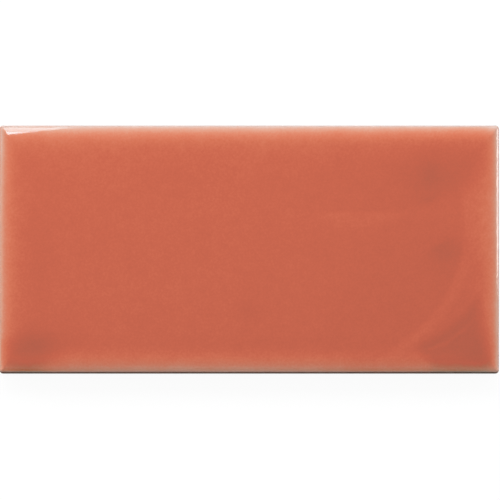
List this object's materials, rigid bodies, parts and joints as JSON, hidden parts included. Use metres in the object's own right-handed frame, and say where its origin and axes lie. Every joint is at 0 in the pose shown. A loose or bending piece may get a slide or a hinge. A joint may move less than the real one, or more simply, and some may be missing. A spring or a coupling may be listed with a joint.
{
  "type": "ceramic wall tile",
  "caption": "Rectangular glazed ceramic wall tile with a softly rolled-off glossy face, pale fired clay sides and a back keyed with shallow grooves for adhesive.",
  "frame": {"origin": "middle of the back, on the plane that the tile lies on", "axes": "+X along the long side, +Y along the short side, +Z through the thickness from the back to the glazed face"},
  "size_m": [0.125, 0.062, 0.009],
  "materials": {
    "glaze": "gloss",
    "bisque": "matte"
  },
  "bodies": {
    "root": {"tile": "glaze"}
  },
  "joints": []
}
